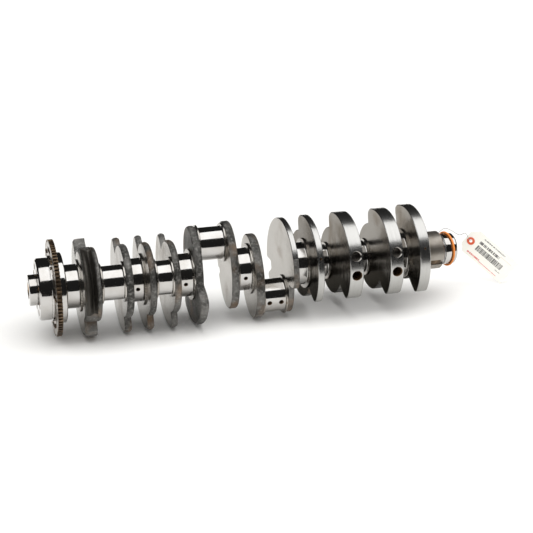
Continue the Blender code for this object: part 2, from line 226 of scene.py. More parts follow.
def smooth_route(knots, per_span):
    """A Catmull-Rom curve through a few given points."""
    ends = [2 * knots[0] - knots[1], *knots, 2 * knots[-1] - knots[-2]]
    points = []
    for a, b, c, d in zip(ends, ends[1:], ends[2:], ends[3:]):
        for step in range(per_span):
            t = step / per_span
            points.append(0.5 * (2 * b + (c - a) * t + (2 * a - 5 * b + 4 * c - d) * t ** 2
                                 + (3 * b - a - 3 * c + d) * t ** 3))
    return points + [knots[-1]]


def new_finish(name, metallic):
    """A material, its pattern and its shader."""
    made = bpy.data.materials.new(name)
    made.use_nodes = True
    shader = made.node_tree.nodes["Principled BSDF"]
    shader.inputs["Metallic"].default_value = metallic
    return made, Surface(made.node_tree), shader


def round_wire(name, points, radius, closed, finish, slot, *nodes):
    """A round wire or cord along points, as a curve with filled ends."""
    line = bpy.data.curves.new(name, "CURVE")
    line.dimensions = "3D"
    line.bevel_depth = radius
    line.bevel_resolution = 4
    line.use_fill_caps = not closed
    spline = line.splines.new("POLY")
    spline.points.add(len(points) - 1)
    for point, at in zip(spline.points, points):
        point.co = (*at, 1.0)
    spline.use_cyclic_u = closed
    spline.use_smooth = True
    line.materials.append(finish)
    made = bpy.data.objects.new(name, line)
    bpy.context.collection.objects.link(made)
    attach(made, "shaft")
    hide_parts(*nodes)
    return made


galvanised, zinc, shader = new_finish("galvanised_wire", 0.9)
spangle = zinc.grain(zinc.place(), 900.0, 3.0)
zinc.feed(shader, "Base Color", zinc.tint(spangle, (0.36, 0.36, 0.37), (0.66, 0.66, 0.65)))
zinc.feed(shader, "Roughness", zinc.spread(spangle, 0.3, 0.7, 0.28, 0.5))
zinc.feed(shader, "Normal", zinc.bump(spangle, 0.05 * MM))

wire_knots = [from_axis(322.6, 8.0, 25.25), from_axis(329.6, 13.0, 27.5),
              from_axis(340.6, 20.0, 28.0), from_axis(355.6, 27.0, 20.0),
              from_axis(372.6, 34.0, 9.0)]
wire_knots += [tag_frame @ (Vector(at) * MM) for at in
               ((-16.0, 6.0, 5.0), (-7.0, 2.2, 3.0), (-2.0, 0.4, 1.9), (-0.2, 0.0, -1.2))]
wire_route = smooth_route(wire_knots, 6)
tag_wire = round_wire("tag_tie_wire", wire_route, WIRE_R, False, galvanised, "tie_wire",
                      "tag_wire")
wire_length = sum((b - a).length for a, b in zip(wire_route, wire_route[1:]))


# ---- Pilot spigot, pilot bush and seal hub ---------------------------------------------------
# The rear end of the forging, turned and then ground for the crank seal.  The short spigot
# behind it is bored for the gearbox's input shaft, and a bronze bush is pressed into the bore.
# The flywheel bolts to the ring-shaped seat on the hub's rear face.
AXIS = (0.0, AXIS_HEIGHT)


def around(radius, angle, centre=AXIS):
    """Y and Z at a crank angle: 0 is the first crankpin's direction, 20 degrees above -Y."""
    turn = math.radians(angle + 20.0)
    return centre[0] - radius * math.cos(turn), centre[1] + radius * math.sin(turn)


SHARP_EDGE = 32.0
DOUBLES = 0.002 * MM


def add_piece(name, bm, finishes, slot, *nodes, body="shaft", sharp=SHARP_EDGE):
    """A bmesh in place becomes a piece that rides on a body and stands for CAD nodes."""
    bmesh.ops.remove_doubles(bm, verts=bm.verts, dist=DOUBLES)
    bmesh.ops.recalc_face_normals(bm, faces=bm.faces)
    mesh = bpy.data.meshes.new(name)
    bm.to_mesh(mesh)
    bm.free()
    for finish in finishes:
        mesh.materials.append(finish)
    mesh.shade_smooth()
    mesh.set_sharp_from_angle(angle=math.radians(sharp))
    made = bpy.data.objects.new(name, mesh)
    bpy.context.collection.objects.link(made)
    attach(made, body)
    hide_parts(*nodes)
    return made


def turned(profile, steps=96, centre=AXIS, closed=False):
    """Turn (station, radius) points about a line along X."""
    bm = bmesh.new()
    verts = [bm.verts.new((x, centre[0], centre[1] + r)) for x, r in profile]
    edges = [bm.edges.new(pair) for pair in zip(verts, verts[1:])]
    if closed:
        edges.append(bm.edges.new((verts[-1], verts[0])))
    bmesh.ops.spin(bm, geom=verts + edges, cent=(0.0, *centre), axis=(1.0, 0.0, 0.0),
                   angle=math.tau, steps=steps, use_merge=True)
    if not closed:
        bmesh.ops.holes_fill(bm, edges=[e for e in bm.edges if e.is_boundary], sides=0)
    return bm


def arc(x, r, size, first, last, steps=4):
    """Points round a corner's centre, for fillets and rounded edges in a profile."""
    turns = [math.radians(first + (last - first) * i / steps) for i in range(steps + 1)]
    return [(x + size * math.cos(t), r + size * math.sin(t)) for t in turns]


def carve(piece, bm, wall):
    """Cut a shape out of a piece at once; the new faces take the wall's finish."""
    bmesh.ops.recalc_face_normals(bm, faces=bm.faces)
    cutter_mesh = bpy.data.meshes.new("cutter")
    bm.to_mesh(cutter_mesh)
    bm.free()
    cutter_mesh.materials.append(wall)
    cutter = bpy.data.objects.new("cutter", cutter_mesh)
    bpy.context.collection.objects.link(cutter)
    saw = piece.modifiers.new("saw", "BOOLEAN")
    saw.operation = "DIFFERENCE"
    saw.solver = "EXACT"
    saw.material_mode = "TRANSFER"
    saw.object = cutter
    ready = piece.evaluated_get(bpy.context.evaluated_depsgraph_get())
    cut_mesh = bpy.data.meshes.new_from_object(ready)
    piece.modifiers.clear()
    old = piece.data
    piece.data = cut_mesh
    bpy.data.meshes.remove(old)
    bpy.data.objects.remove(cutter)
    bpy.data.meshes.remove(cutter_mesh)
    cut_mesh.shade_smooth()
    cut_mesh.set_sharp_from_angle(angle=math.radians(SHARP_EDGE))


def drill(piece, middle, out, surface, radius, depth, chamfer, wall):
    """Drill a hole from a surface inwards, with a chamfered mouth, and keep the result."""
    reach = 6.0 * MM
    profile = [(-depth, 0.0), (-depth, radius), (-chamfer, radius),
               (reach, radius + chamfer + reach)]
    bm = bmesh.new()
    verts = [bm.verts.new((r, 0.0, h)) for h, r in profile + [(reach, 0.0)]]
    edges = [bm.edges.new(pair) for pair in zip(verts, verts[1:])]
    bmesh.ops.spin(bm, geom=verts + edges, cent=(0, 0, 0), axis=(0, 0, 1), angle=math.tau,
                   steps=28, use_merge=True)
    bmesh.ops.remove_doubles(bm, verts=bm.verts, dist=DOUBLES)
    turn = out.to_track_quat("Z", "Y").to_matrix().to_4x4()
    bmesh.ops.transform(bm, matrix=Matrix.Translation(middle + out * surface) @ turn,
                        verts=bm.verts)
    carve(piece, bm, wall)


ground_steel, steel, shader = new_finish("ground_steel", 1.0)
grind = steel.grain(steel.place((5200.0, 9.0, 9.0)), 1.0, 3.0, 0.6)
haze = steel.grain(steel.place(), 38.0, 3.0)
steel.feed(shader, "Base Color", steel.tint(steel.spread(haze, 0.35, 0.7), (0.53, 0.52, 0.505),
                                            (0.46, 0.44, 0.415)))
steel.feed(shader, "Roughness", 0.05 + grind * 0.07 + steel.spread(haze, 0.45, 0.8, 0.0, 0.06))
steel.feed(shader, "Normal", steel.bump(grind, 0.004 * MM, 0.6))

# painted shade: a dark brown finish for drilled hole walls, where shade falls inside the holes
hole_wall_shade, bore, shader = new_finish("hole_wall_shade", 0.8)
hole_shade_grain = bore.grain(bore.place(), 260.0, 3.0)
bore.feed(shader, "Base Color", bore.tint(hole_shade_grain, (0.05, 0.032, 0.018), (0.24, 0.15, 0.08)))
bore.feed(shader, "Roughness", bore.spread(hole_shade_grain, 0.3, 0.7, 0.25, 0.5))
bore.feed(shader, "Normal", bore.bump(hole_shade_grain, 0.1 * MM))

spigot_lo, spigot_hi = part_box("pilot_spigot")
SPIGOT_R = 23.6 * MM
SPIGOT_BORE_R = 12.3 * MM
SEAT_GAP = 0.3 * MM
SEAT_DEEP = 1.0 * MM
spigot_profile = [(spigot_lo[0] + 0.8 * MM, SPIGOT_BORE_R),
                  (spigot_lo[0], SPIGOT_BORE_R + 0.8 * MM), (spigot_lo[0], SPIGOT_R - 3.0 * MM),
                  *arc(spigot_lo[0] + 1.6 * MM, SPIGOT_R - 1.6 * MM, 1.6 * MM, 180.0, 90.0),
                  (spigot_hi[0] - 1.4 * MM, SPIGOT_R), (spigot_hi[0] - 1.0 * MM, SPIGOT_R - 0.7 * MM),
                  (spigot_hi[0], SPIGOT_R - 0.7 * MM), (spigot_hi[0], SPIGOT_BORE_R)]
add_piece("pilot_spigot_turned", turned(spigot_profile, closed=True), [ground_steel],
          "ground_steel", "pilot_spigot")

bronze, copper, shader = new_finish("bush_bronze", 1.0)
tarnish = copper.grain(copper.place(), 160.0, 4.0)
copper.feed(shader, "Base Color", copper.tint(tarnish, (0.42, 0.25, 0.09), (0.72, 0.47, 0.22)))
copper.feed(shader, "Roughness", copper.spread(tarnish, 0.3, 0.7, 0.22, 0.42))
copper.feed(shader, "Normal", copper.bump(tarnish, 0.03 * MM))
bush_lo, bush_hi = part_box("pilot_bush")
BUSH_R = 12.0 * MM
BUSH_BORE_R = 8.5 * MM
edge = 0.6 * MM
bush_profile = [(bush_lo[0] + edge, BUSH_BORE_R), (bush_lo[0], BUSH_BORE_R + edge),
                (bush_lo[0], BUSH_R - edge), (bush_lo[0] + edge, BUSH_R),
                (bush_hi[0] - edge, BUSH_R), (bush_hi[0], BUSH_R - edge),
                (bush_hi[0], BUSH_BORE_R + edge), (bush_hi[0] - edge, BUSH_BORE_R)]
add_piece("pilot_bush_bronze", turned(bush_profile, 64, closed=True), [bronze], "bronze",
          "pilot_bush")

hub_lo, hub_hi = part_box("seal_hub")
SEAL_R = 47.25 * MM
STEP_R = 49.75 * MM
SEAT_R = 40.0 * MM
RING_SEAT = -309.7 * MM
step_rear = RING_SEAT - 4.0 * MM
seal_profile = [(hub_lo[0] + SEAT_DEEP, SPIGOT_R + SEAT_GAP), (hub_lo[0], SPIGOT_R + SEAT_GAP),
                (hub_lo[0], SEAL_R - 2.4 * MM),
                (hub_lo[0] + 2.2 * MM, SEAL_R - 0.3 * MM), (hub_lo[0] + 2.8 * MM, SEAL_R),
                (step_rear - 1.0 * MM, SEAL_R), (step_rear - 0.7 * MM, SEAL_R - 0.5 * MM),
                (step_rear, SEAL_R - 0.5 * MM), (step_rear, STEP_R - 0.5 * MM),
                (step_rear + 0.5 * MM, STEP_R), (RING_SEAT - 0.3 * MM, STEP_R),
                (RING_SEAT - 0.3 * MM, SEAT_R), (hub_hi[0], SEAT_R)]
seal_hub = add_piece("seal_hub_ground", turned(seal_profile), [ground_steel], "ground_steel",
                     "seal_hub")
FLYWHEEL_BOLTS = 8
BOLT_CIRCLE_R = 35.0 * MM
for bolt in range(FLYWHEEL_BOLTS):
    middle = Vector((hub_lo[0], *around(BOLT_CIRCLE_R, 360.0 * bolt / FLYWHEEL_BOLTS)))
    drill(seal_hub, middle, Vector((-1.0, 0.0, 0.0)), surface=0.0, radius=4.5 * MM,
          depth=16.0 * MM, chamfer=0.8 * MM, wall=hole_wall_shade)


# ---- Timing ring and its screws --------------------------------------------------------------
# A blanked steel ring with 79 square teeth, blackened all over and rubbed bright on its flat
# faces.  Six socket screws hold it to the hub, and six windows lighten it.
RING_TEETH = 79
ring_lo, ring_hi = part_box("timing_ring")
RING_R = (ring_hi[2] - ring_lo[2]) / 2
ROOT_R = RING_R - 3.4 * MM


def plate(outline, rear, front):
    """A flat plate across the shaft from an outline of (Y, Z) points."""
    bm = bmesh.new()
    face = bm.faces.new([bm.verts.new((rear, y, z)) for y, z in outline])
    grown = bmesh.ops.extrude_face_region(bm, geom=[face])
    moved = [v for v in grown["geom"] if isinstance(v, bmesh.types.BMVert)]
    bmesh.ops.translate(bm, vec=(front - rear, 0.0, 0.0), verts=moved)
    return bm


blackened_steel, black, shader = new_finish("blackened_steel", 0.85)
scale_marks = black.grain(black.place(), 420.0, 4.0)
rubbed = black.spread(black.grain(black.place(), 60.0, 3.0), 0.45, 0.75)
black.feed(shader, "Base Color", black.tint(rubbed, (0.08, 0.056, 0.036), (0.34, 0.24, 0.15)))
black.feed(shader, "Roughness", 0.26 + scale_marks * 0.25)
black.feed(shader, "Normal", black.bump(scale_marks, 0.06 * MM))

rubbed_steel, worn, shader = new_finish("rubbed_steel", 1.0)
lathe = worn.grain(worn.place((30.0, 900.0, 900.0)), 1.0, 3.0)
stain = worn.spread(worn.grain(worn.place(), 55.0, 4.0), 0.40, 0.75)
worn.feed(shader, "Base Color", worn.tint(stain, (0.52, 0.50, 0.47), (0.26, 0.19, 0.13)))
worn.feed(shader, "Roughness", 0.22 + lathe * 0.16)
worn.feed(shader, "Normal", worn.bump(lathe, 0.03 * MM))

ring_outline = [around(radius, 360.0 * (tooth + share) / RING_TEETH)
                for tooth in range(RING_TEETH)
                for share, radius in ((-0.30, ROOT_R), (-0.21, RING_R), (0.21, RING_R),
                                      (0.30, ROOT_R))]
ring_bm = plate(ring_outline, ring_lo[0], ring_hi[0])
for face in ring_bm.faces:
    face.material_index = 1 if len(face.verts) > 4 else 0
timing_ring = add_piece("timing_ring_toothed", ring_bm, [blackened_steel, rubbed_steel],
                        "blackened_steel", "timing_ring", sharp=25.0)
bore_x = (ring_lo[0] - 5.0 * MM, ring_hi[0] + 5.0 * MM)
carve(timing_ring, turned([(bore_x[0], SEAT_R + 0.3 * MM), (bore_x[1], SEAT_R + 0.3 * MM)]),
      blackened_steel)
RING_WINDOWS = 6
for window in range(RING_WINDOWS):
    middle = 360.0 * window / RING_WINDOWS + 12.0
    sides = [around(63.0 * MM, middle + a) for a in range(-15, 16, 3)]
    sides += [around(55.0 * MM, middle + a) for a in range(15, -16, -3)]
    carve(timing_ring, plate(sides, *bore_x), blackened_steel)
ring_edges = timing_ring.modifiers.new("broken_edges", "BEVEL")
ring_edges.width = 0.25 * MM
ring_edges.segments = 1
ring_edges.limit_method = "ANGLE"
ring_edges.angle_limit = math.radians(40.0)

SCREW_R = 3.6 * MM
for screw in range(1, 7):
    lo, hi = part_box(f"ring_screw_{screw}")
    centre = ((lo[1] + hi[1]) / 2, (lo[2] + hi[2]) / 2)
    head = [(lo[0], 2.9 * MM), *arc(lo[0] + 0.7 * MM, SCREW_R - 0.7 * MM, 0.7 * MM, 180.0, 90.0),
            (hi[0], SCREW_R)]
    made = add_piece(f"ring_screw_{screw}_head", turned(head, 32, centre), [blackened_steel],
                     "blackened_steel", f"ring_screw_{screw}")
    socket_sides = [(centre[0] + 1.7 * MM * math.cos(math.radians(60.0 * i)),
                     centre[1] + 1.7 * MM * math.sin(math.radians(60.0 * i))) for i in range(6)]
    carve(made, plate(socket_sides, lo[0] - 1.0 * MM, lo[0] + 1.2 * MM), blackened_steel)


# ---- Thrust collar ---------------------------------------------------------------------------
# A plain collar turned on the forging in front of the ring, and ground, with a polished rim.
# The thrust washers bear on its front face, round the first main journal.
collar_lo, collar_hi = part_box("thrust_collar")
COLLAR_R = (collar_hi[2] - collar_lo[2]) / 2
collar_profile = [(collar_lo[0], COLLAR_R - 1.0 * MM), (collar_lo[0] + 1.0 * MM, COLLAR_R),
                  (collar_hi[0] - 2.2 * MM, COLLAR_R),
                  *arc(collar_hi[0] - 2.0 * MM, COLLAR_R - 2.0 * MM, 2.0 * MM, 90.0, 0.0),
                  (collar_hi[0], SEAT_R + SEAT_GAP), (collar_hi[0] - SEAT_DEEP, SEAT_R + SEAT_GAP)]
add_piece("thrust_collar_ground", turned(collar_profile), [ground_steel], "ground_steel",
          "thrust_collar")


# ---- Main journals and crankpins -------------------------------------------------------------
# Ground and polished to a mirror between two raised shoulders, with a small fillet at each end.
# Oil comes out of the chamfered holes; the second to fourth mains have one each and the fourth pin
# has two.
MAIN_R = 33.5 * MM
PIN_R = 26.0 * MM
BOSS = 2.4 * MM
FILLET = 1.5 * MM


def faced_steel(name, painted_shade):
    """Steel faced in the lathe, with painted shade running dark down its lower half in streaks."""
    made, satin, shader = new_finish(name, 1.0)
    from_axis_line = satin.place((1.0, 1.0, 1.0), (0.0, 0.0, -AXIS_HEIGHT))
    across_axis = satin.node("ShaderNodeVectorMath", {"operation": "MULTIPLY"},
                             {0: from_axis_line, 1: (0.0, 1.0, 1.0)})
    distance = satin.node("ShaderNodeVectorMath", {"operation": "LENGTH"}, {0: across_axis},
                          "Value")
    tool_marks = satin.node("ShaderNodeTexNoise", {"noise_dimensions": "1D"},
                            {"W": distance, "Scale": 2600.0, "Detail": 3.0})
    cloudy = satin.grain(satin.place(), 26.0, 4.0)
    unshaded_tone = satin.tint(satin.spread(cloudy, 0.42, 0.78), (0.44, 0.42, 0.39), (0.31, 0.275, 0.235))
    # painted shade: the colour goes almost black below the axis line, with a streaky upper edge
    height = satin.node("ShaderNodeSeparateXYZ", {}, {"Vector": from_axis_line}, "Z")
    shade_streaks = satin.grain(satin.place((50.0, 260.0, 22.0)), 1.0, 3.0)
    lower_shade_mask = satin.spread(height + shade_streaks * 0.040, 0.034, 0.002) * painted_shade
    satin.feed(shader, "Base Color", satin.tint(lower_shade_mask, unshaded_tone, (0.024, 0.021, 0.016)))
    satin.feed(shader, "Roughness", 0.16 + tool_marks * 0.14
               + satin.spread(cloudy, 0.4, 0.8, 0.0, 0.08))
    satin.feed(shader, "Normal", satin.bump(tool_marks, 0.02 * MM))
    # the same amount of painted shade also dulls the glancing reflections
    edge_tint = 1.0 - 0.6 * painted_shade
    shader.inputs["Specular Tint"].default_value = (edge_tint, edge_tint, edge_tint, 1.0)
    return made


# the front webs' finish carries heavy painted shade on its lower half; the plain one carries only a
# trace
machined_steel = faced_steel("machined_steel", 0.10)
lower_shaded_steel = faced_steel("lower_shaded_steel", 0.95)


def journal_profile(rear, front, radius, shoulder_r):
    """A journal between two shoulders, with its fillets and broken edges."""
    edge = 0.5 * MM
    left = [(rear, shoulder_r), (rear + BOSS - edge, shoulder_r),
            (rear + BOSS, shoulder_r - edge), (rear + BOSS, radius + FILLET),
            *arc(rear + BOSS + FILLET, radius + FILLET, FILLET, 180.0, 270.0)[1:]]
    return left + [(rear + front - x, r) for x, r in reversed(left)]


journals = [(f"main_journal_{i}", MAIN_R) for i in range(1, 7)]
journals += [(f"crankpin_{i}", PIN_R) for i in range(1, 7)]
for node, radius in journals:
    lo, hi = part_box(node)
    centre = ((lo[1] + hi[1]) / 2, (lo[2] + hi[2]) / 2)
    shoulder_r = (hi[2] - lo[2]) / 2
    bm = turned(journal_profile(lo[0], hi[0], radius, shoulder_r), 112, centre)
    for face in bm.faces:
        middle = face.calc_center_median()
        out = math.hypot(middle.y - centre[0], middle.z - centre[1])
        face.material_index = 1 if out > radius + 0.9 * FILLET else 0
    journal = add_piece(f"{node}_ground", bm, [ground_steel, machined_steel], "ground_steel",
                        node)
    middle = Vector(((lo[0] + hi[0]) / 2, *centre))
    if node in ("main_journal_2", "main_journal_3", "main_journal_4"):
        out = Vector((0.0, *around(1.0, -26.0, (0.0, 0.0))))
        drill(journal, middle, out, surface=radius, radius=2.6 * MM, depth=14.0 * MM,
              chamfer=0.7 * MM, wall=hole_wall_shade)
    if node == "crankpin_4":
        for side in (-9.5 * MM, 9.5 * MM):
            out = Vector((0.0, *around(1.0, -28.0, (0.0, 0.0))))
            drill(journal, middle + Vector((side, 0.0, 0.0)), out, surface=radius,
                  radius=2.9 * MM, depth=12.0 * MM, chamfer=1.0 * MM, wall=hole_wall_shade)


# ---- Webs ------------------------------------------------------------------------------------
# The webs join the pins to the mains and carry the counterweights.  Their flanks are machined;
# the seven rear ones keep a scaly forged rim, and the front ones are turned bright on the weight.
WEIGHT_R = 78.75
MAIN_BOSS_R = 40.0
WIDE = (19.0, 56.5, 56.5)
FRONT_LOBE = (19.0, 53.5, 53.5)
REAR_WEIGHT = (WEIGHT_R, 116.0, 280.0, 9.0)
FRONT_WEIGHT = (76.5, -57.0, 94.0, 13.0)
# each web: its pin's direction, its lobe (offset towards the pin, half length, half width), and
# its weight or None (radius, first angle, last angle, spread of its sides), in millimetres and
# in degrees from the first crankpin's direction
WEBS = {
    "web_01": (0.0, WIDE, (WEIGHT_R, 110.0, 292.0, 7.0)),
    "web_02": (0.0, WIDE, REAR_WEIGHT),
    "web_03": (0.0, WIDE, REAR_WEIGHT),
    "web_04": (0.0, WIDE, REAR_WEIGHT),
    "web_05": (90.0, (13.0, 62.0, 43.0), (WEIGHT_R, 214.0, 322.0, 12.0)),
    "web_06": (90.0, (9.0, 69.0, 46.0), None),
    "web_07": (-90.0, (12.0, 66.8, 46.5), None),
    "web_08": (-90.0, (12.0, 62.0, 42.0), (75.6, -30.0, 212.0, 12.0)),
    "web_09": (180.0, FRONT_LOBE, FRONT_WEIGHT),
    "web_10": (180.0, FRONT_LOBE, FRONT_WEIGHT),
    "web_11": (180.0, FRONT_LOBE, FRONT_WEIGHT),
    "web_12": (0.0, (0.0, 42.0, 42.0), (WEIGHT_R, -57.0, 98.0, 7.0)),
}


def lobe_radius(angle, offset, half_long, half_wide):
    """Distance from the axis to the lobe's edge, at an angle from the pin's direction."""
    c, s = math.cos(math.radians(angle)), math.sin(math.radians(angle))
    a = (c / half_long) ** 2 + (s / half_wide) ** 2
    b = -2.0 * offset * c / half_long ** 2
    k = (offset / half_long) ** 2 - 1.0
    return (-b + math.sqrt(b * b - 4.0 * a * k)) / (2.0 * a)


def ease(t):
    """0 to 1 with a soft start and end, and held outside them."""
    t = min(1.0, max(0.0, t))
    return t * t * (3.0 - 2.0 * t)


CORNER_DROP = 3.0
CORNER_SPREAD = 8.0


def weight_radius(angle, radius, first, last, spread):
    """The weight's rim, with rounded corners and eased shoulders down to the boss."""
    past = max(first - angle, angle - last)
    if past >= spread:
        return 0.0
    radius -= CORNER_DROP * ease((past + CORNER_SPREAD) / CORNER_SPREAD) ** 2
    return radius - (radius - MAIN_BOSS_R) * ease(past / spread)


def near(angle, middle, half, soft):
    """1 within half of a middle angle, and fading to 0 over soft degrees."""
    off = abs((angle - middle + 180.0) % 360.0 - 180.0)
    return 1.0 - ease((off - half) / soft)


def rim_radius(node, angle):
    """A web's outline: whichever of its lobe and its weight reaches further."""
    pin, lobe, weight = WEBS[node]
    radius = lobe_radius(angle - pin, *lobe)
    if weight:
        radius = max(radius, weight_radius(angle, *weight), weight_radius(angle + 360.0, *weight))
    return radius


def web_ring(bm, node, x, inset):
    """One closed loop of edges round a web, pulled in by inset(angle) millimetres."""
    verts = []
    for step in range(-90, 90):
        angle = 2.0 * step
        verts.append(bm.verts.new((x, *around((rim_radius(node, angle) - inset(angle)) * MM,
                                              angle))))
    return [bm.edges.new(pair) for pair in zip(verts, verts[1:] + verts[:1])]


def loft_web(node, sections):
    """Bridge rings at (share of the thickness, inset) sections, and close the flanks."""
    lo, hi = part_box(node)
    bm = bmesh.new()
    rings = [web_ring(bm, node, lo[0] + (hi[0] - lo[0]) * share, inset)
             for share, inset in sections]
    for first, second in zip(rings, rings[1:]):
        bmesh.ops.bridge_loops(bm, edges=first + second)
    for face in bm.faces:
        face.material_index = 1
    for ring in (rings[0], rings[-1]):
        for flank in bmesh.ops.contextual_create(bm, geom=ring)["faces"]:
            flank.material_index = 0
    return bm


turned_rim, lathe_cut, shader = new_finish("turned_rim", 1.0)
feed_marks = lathe_cut.grain(lathe_cut.place((2400.0, 20.0, 20.0)), 1.0, 4.0, 0.6)
chatter = lathe_cut.grain(lathe_cut.place((60.0, 420.0, 420.0)), 1.0, 3.0)
rim_height = lathe_cut.node("ShaderNodeSeparateXYZ", {}, {"Vector": lathe_cut.place()}, "Z")
# painted shade: the turned rim grows darker below the axis line
rim_lower_shade = lathe_cut.spread(rim_height, AXIS_HEIGHT, AXIS_HEIGHT - 0.04)
bright_cut = lathe_cut.tint(feed_marks, (0.60, 0.595, 0.58), (0.34, 0.335, 0.32))
lathe_cut.feed(shader, "Base Color", lathe_cut.tint(rim_lower_shade * 0.7, bright_cut,
                                                    (0.25, 0.245, 0.23)))
lathe_cut.feed(shader, "Roughness", 0.15 + feed_marks * 0.14 + chatter * 0.05)
lathe_cut.feed(shader, "Normal", lathe_cut.bump(feed_marks + chatter * 0.6, 0.03 * MM))

forged_steel, rough, shader = new_finish("forged_steel", 0.75)
pits = rough.grain(rough.place(), 240.0, 5.0, 0.7)
patches = rough.grain(rough.place(), 34.0, 4.0)
rust = rough.spread(rough.grain(rough.place((1.0, 1.0, 1.0), (0.3, 0.1, 0.7)), 22.0, 4.0), 0.52, 0.72)
scale_grey = rough.tint(rough.spread(patches, 0.35, 0.68), (0.045, 0.044, 0.040),
                        (0.17, 0.165, 0.155))
scale_fleck = rough.tint(rough.spread(pits, 0.45, 0.70) * 0.6, scale_grey, (0.36, 0.35, 0.33))
rough.feed(shader, "Base Color", rough.tint(rust * 0.5, scale_fleck, (0.25, 0.155, 0.085)))
rough.feed(shader, "Roughness", 0.36 + pits * 0.28)
rough.feed(shader, "Normal", rough.bump(pits, 1.3 * MM))

# painted shade: a near-black finish laid in the first web's deep hollow, where shade falls
shade_in_hollow, hollow_shading, shader = new_finish("shade_in_hollow", 0.6)
hollow_shade_grain = hollow_shading.grain(hollow_shading.place(), 200.0, 5.0, 0.65)
hollow_shading.feed(shader, "Base Color", hollow_shading.tint(hollow_shade_grain, (0.010, 0.009, 0.008), (0.075, 0.068, 0.056)))
hollow_shading.feed(shader, "Roughness", 0.38 + hollow_shade_grain * 0.2)
hollow_shading.feed(shader, "Normal", hollow_shading.bump(hollow_shade_grain, 0.8 * MM))

# middle angle, half width and depth in millimetres of the notch in a web's far edge
FAR_NOTCHES = {"web_06": (178.0, 5.0, 8.0), "web_08": (178.0, 7.0, 22.0)}


def with_notch(inset, middle, half, deep):
    """An edge with a notch sunk into it at a middle angle."""
    return lambda angle: inset(angle) + deep * near(angle, middle, half, 4.0)


def flat(amount):
    """The same distance in all round the web."""
    return lambda angle: amount


EDGE_WAVE = 0.5
EDGE_IN = 0.3


def forged_edge(seed, amount):
    """A rounded, slightly wavy forged edge."""
    def inset(angle):
        turn = math.radians(angle)
        wave = noise.noise(Vector((3.0 * math.cos(turn), 3.0 * math.sin(turn), seed)))
        return amount + EDGE_WAVE * wave + EDGE_IN
    return inset


# two ridges run down the first web's near side with a deep hollow between them: its middle
# angle, half width and fade, in degrees
HOLLOW = (6.0, 22.0, 42.0)


def hollow(deep):
    """Pulled in on the near side, between the first web's two ridges."""
    return lambda angle: deep * near(angle, *HOLLOW)


def arm_only(extra):
    """The first web's front ridge, which is its arm without the weight."""
    edge_wave = forged_edge(6.0, extra)
    return lambda angle: (edge_wave(angle) + rim_radius("web_01", angle)
                          - lobe_radius(angle, *WIDE))


FORGED_WEBS = 7
LOWER_SHADED_FROM = 8
RIM_DEEP = 4.5
WEB_08_RIM_FROM = 6.0
# the share of the first web's thickness that is painted near black as shade, from ridge to ridge
SHADED_HOLLOW_SHARE = (0.10, 0.73)
for number, (node, (_, _, weight)) in enumerate(WEBS.items()):
    forged = number < FORGED_WEBS
    lo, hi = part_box(node)
    thick = (hi[0] - lo[0]) / MM
    if node == "web_01":
        sections = [(0.0, forged_edge(1.0, 6.0)), (0.03, forged_edge(1.0, 3.4)),
                    (0.07, forged_edge(1.0, 1.6)), (0.14, forged_edge(1.0, 0.0)),
                    (0.24, forged_edge(2.0, 0.0)), (0.31, hollow(2.5)), (0.39, hollow(8.0)),
                    (0.49, hollow(14.0)), (0.58, hollow(15.0)), (0.67, hollow(11.0)),
                    (0.73, hollow(5.0)), (0.77, arm_only(1.2)), (0.83, arm_only(0.0)),
                    (0.94, arm_only(0.8)), (0.98, arm_only(2.2)), (1.0, arm_only(4.0))]
    elif forged:
        soft = 2.6 if weight else 1.6
        sections = [(0.0, forged_edge(number, soft)),
                    (0.5 * soft / thick, forged_edge(number, 0.45 * soft)),
                    (1.3 * soft / thick, forged_edge(number, 0.0)),
                    (1.0 - 1.3 * soft / thick, forged_edge(number, 0.0)),
                    (1.0 - 0.5 * soft / thick, forged_edge(number, 0.45 * soft)),
                    (1.0, forged_edge(number, soft))]
    else:
        corner = 0.9
        sections = [(0.0, flat(corner)), (corner / thick, flat(0.0)),
                    (1.0 - corner / thick, flat(0.0)), (1.0, flat(corner))]
    notch = FAR_NOTCHES.get(node)
    if notch:
        sections = [(share, with_notch(inset, *notch)) for share, inset in sections]
    bm = loft_web(node, sections)
    for face in bm.faces:
        middle = face.calc_center_median()
        out = math.hypot(middle.y - AXIS[0], middle.z - AXIS[1]) / MM
        angle = math.degrees(math.atan2(middle.z - AXIS[1], AXIS[0] - middle.y)) - 20.0
        share = (middle.x - lo[0]) / (hi[0] - lo[0])
        if face.material_index == 1 and not forged:
            # the tool only reaches the weight's rim, and the lobe keeps its forged edge
            missed = out < weight[0] - RIM_DEEP
            if missed or (node == "web_08" and angle < WEB_08_RIM_FROM):
                face.material_index = 2
        if (node == "web_01" and SHADED_HOLLOW_SHARE[0] < share < SHADED_HOLLOW_SHARE[1]
                and near(angle, *HOLLOW) > 0.3):
            face.material_index = 2
        if node == "web_05":
            face.material_index = 1
    # the front webs' flanks get the finish with heavy painted shade on their lower half
    web = add_piece(f"{node}_{'forged' if forged else 'turned'}", bm,
                    [lower_shaded_steel if number >= LOWER_SHADED_FROM else machined_steel,
                     forged_steel if forged else turned_rim,
                     shade_in_hollow if forged else forged_steel],
                    "forged_steel" if forged else "machined_steel", node)
    middle = Vector(((lo[0] + hi[0]) / 2, *AXIS))
    # angle, radius, depth, chamfer and wall of each hole in the rim
    rim_holes = []
    if node in ("web_10", "web_11"):
        rim_holes = [(2.0, 7.4, 14.0, 1.2, machined_steel), (-21.0, 7.4, 24.0, 1.0, hole_wall_shade)]
    if node in ("web_09", "web_12"):
        rim_holes = [(3.0, 1.3, 2.5, 0.4, hole_wall_shade)]
    for angle, radius, deep, chamfer, wall in rim_holes:
        out = Vector((0.0, *around(1.0, angle, (0.0, 0.0))))
        drill(web, middle, out, weight[0] * MM, radius * MM, deep * MM, chamfer * MM, wall)


